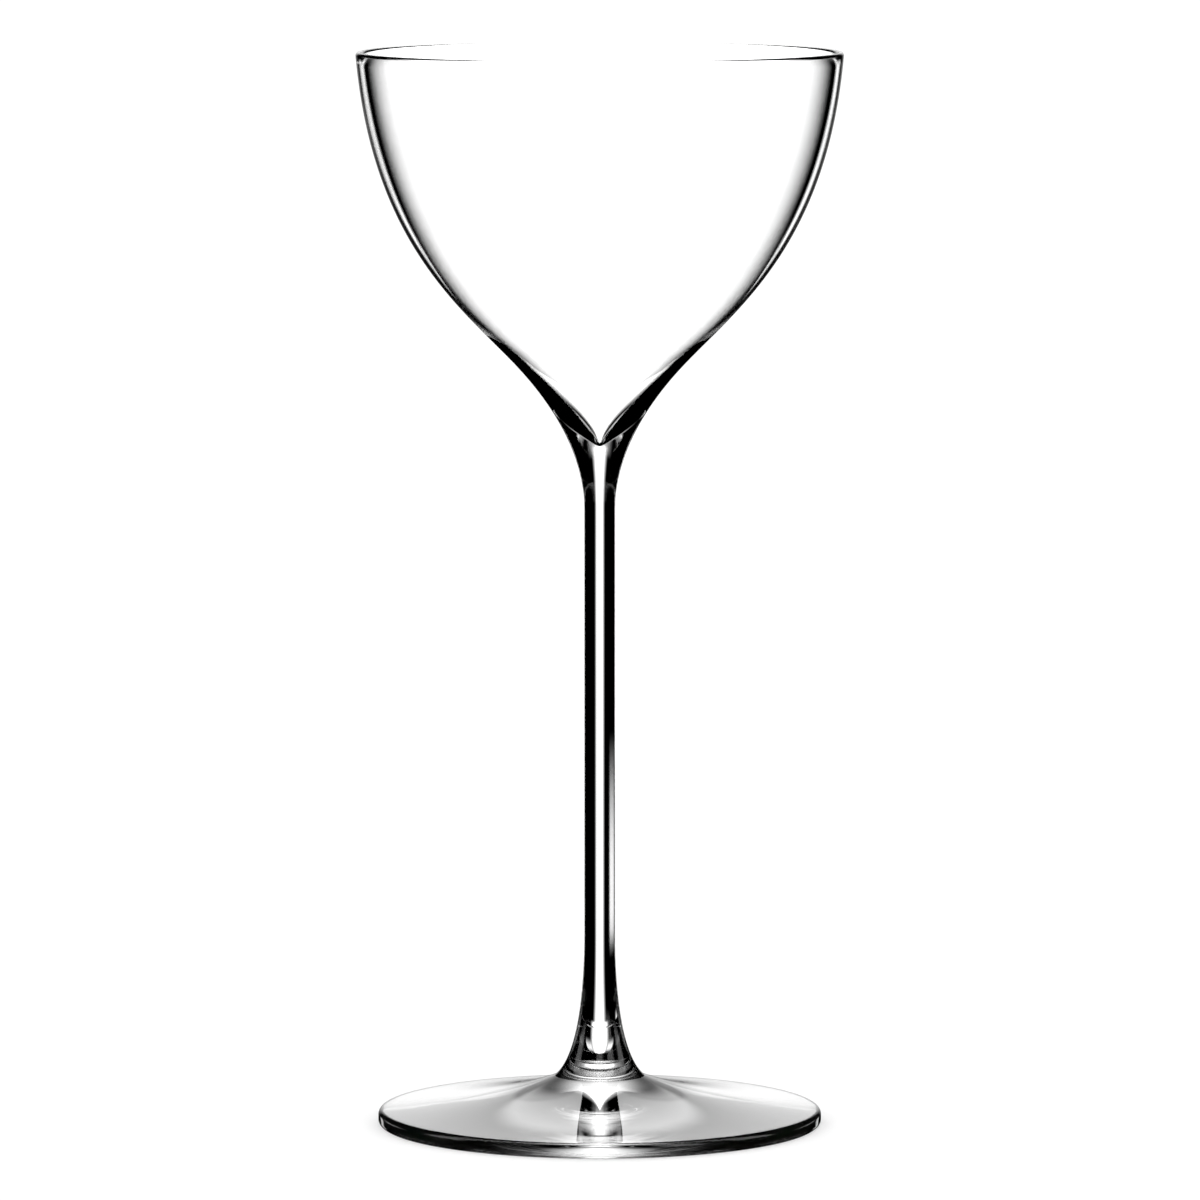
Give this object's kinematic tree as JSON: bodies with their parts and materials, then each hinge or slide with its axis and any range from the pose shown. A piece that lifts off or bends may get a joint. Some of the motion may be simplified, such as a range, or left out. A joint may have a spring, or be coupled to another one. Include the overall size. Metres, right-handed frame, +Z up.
{
  "type": "nick and nora glass",
  "caption": "Clear stemmed cocktail glass with a small deep rounded bowl that draws down into a slim stem on a wide, low spun foot.",
  "frame": {"origin": "centre of the foot's resting ring, on the surface that the glass stands on", "axes": "+Z up along the axis of turning, from the foot through the stem to the rim; +X and +Y are alike, because the glass is round"},
  "size_m": [0.0744, 0.0744, 0.165],
  "materials": {
    "bowl_glass": "clear blown glass, fire-polished",
    "stem_glass": "clear drawn glass, fire-polished",
    "foot_glass": "clear spun glass, fire-polished"
  },
  "bodies": {
    "root": {"bowl": "bowl_glass", "stem": "stem_glass", "foot": "foot_glass"}
  },
  "joints": []
}
